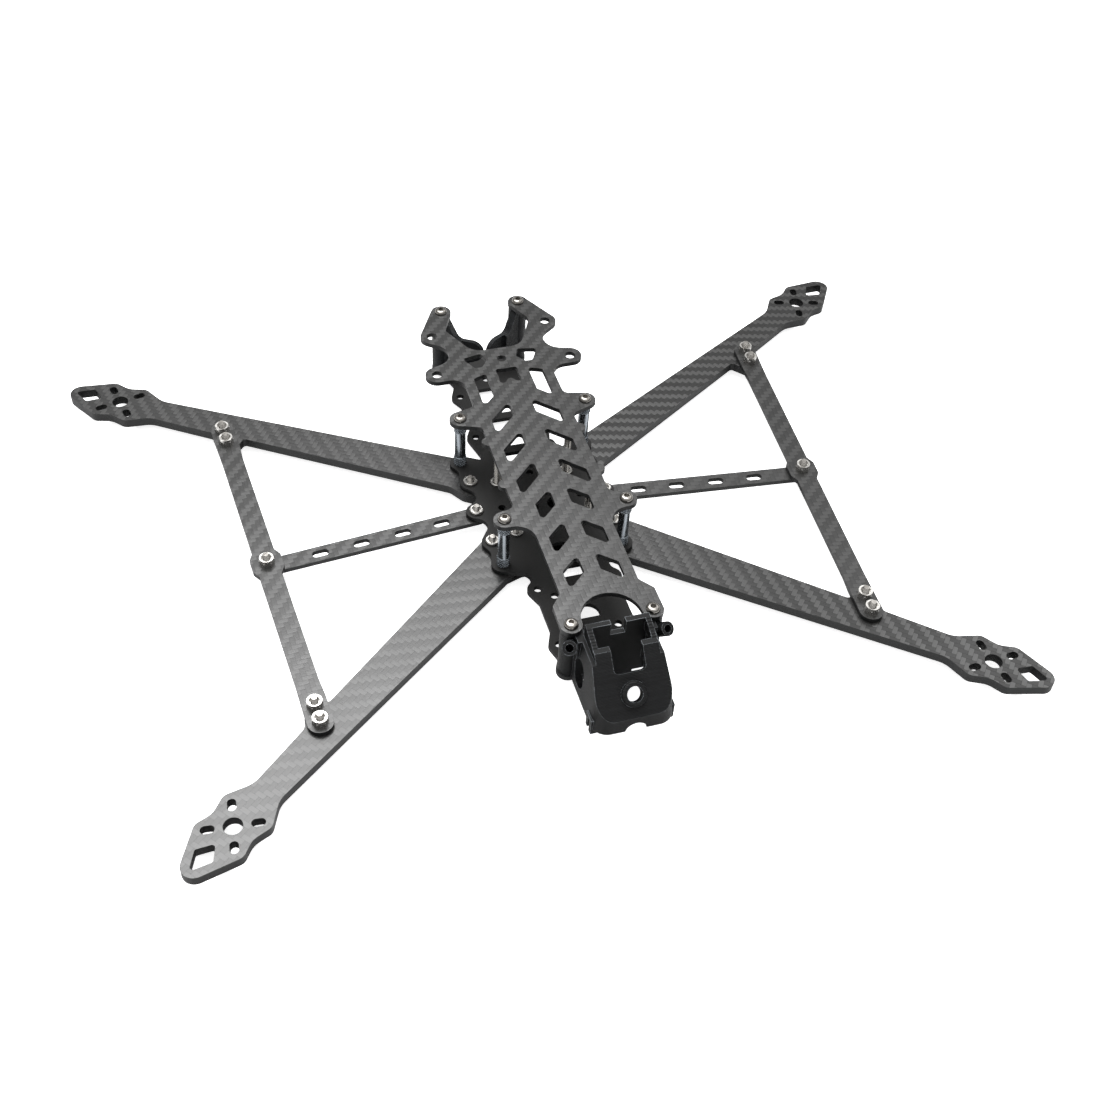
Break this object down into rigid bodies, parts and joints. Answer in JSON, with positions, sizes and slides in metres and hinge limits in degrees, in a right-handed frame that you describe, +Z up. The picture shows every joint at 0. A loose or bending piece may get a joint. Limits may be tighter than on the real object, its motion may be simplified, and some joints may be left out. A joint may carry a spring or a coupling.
{
  "type": "quadcopter frame",
  "caption": "Bare quadcopter frame: sandwich hub, lightened top deck on round spacers, braced arms with slotted motor pads, and printed nose and tail mounts.",
  "frame": {"origin": "on the middle plane, on the underside of the bottom plate, 1.7 mm to the nose side of the centre of the flight controller hole pattern", "axes": "+Z up, -Y towards the nose, +X to the right of a viewer who looks from the nose to the tail"},
  "size_m": [0.3702, 0.2654, 0.0385],
  "materials": {
    "carbon_twill": "satin twill carbon laminate",
    "carbon_arm": "satin twill carbon laminate",
    "carbon_matte": "matte carbon laminate",
    "printed_black": "printed flexible plastic with fine layers",
    "printed_grey": "printed flexible plastic with fine layers",
    "anodised": "anodised, knurled bands",
    "screw_steel": "plain steel",
    "nut_steel": "bright plated steel"
  },
  "bodies": {
    "root": {"arm_front_left": "carbon_arm", "arm_front_right": "carbon_arm", "arm_rear_left": "carbon_arm", "arm_rear_right": "carbon_arm", "bottom_plate": "carbon_matte", "brace_end_nuts": "nut_steel", "brace_end_screws": "screw_steel", "brace_left": "carbon_twill", "brace_middle_nuts": "nut_steel", "brace_middle_screws": "screw_steel", "brace_right": "carbon_twill", "camera_mount": "printed_black", "deck_screws": "screw_steel", "hub_nuts": "nut_steel", "hub_screws": "screw_steel", "mid_plate": "carbon_matte", "nose_post_screws": "screw_steel", "stack_nuts": "nut_steel", "stack_screws": "screw_steel", "standoff_front_left": "anodised", "standoff_front_right": "anodised", "standoff_rear_left": "anodised", "standoff_rear_right": "anodised", "standoff_screws": "screw_steel", "strut_left": "carbon_twill", "strut_nuts": "nut_steel", "strut_right": "carbon_twill", "strut_screws": "screw_steel", "tail_mount_left": "printed_grey", "tail_mount_right": "printed_grey", "tail_post_screws": "screw_steel", "top_plate": "carbon_twill"}
  },
  "joints": []
}
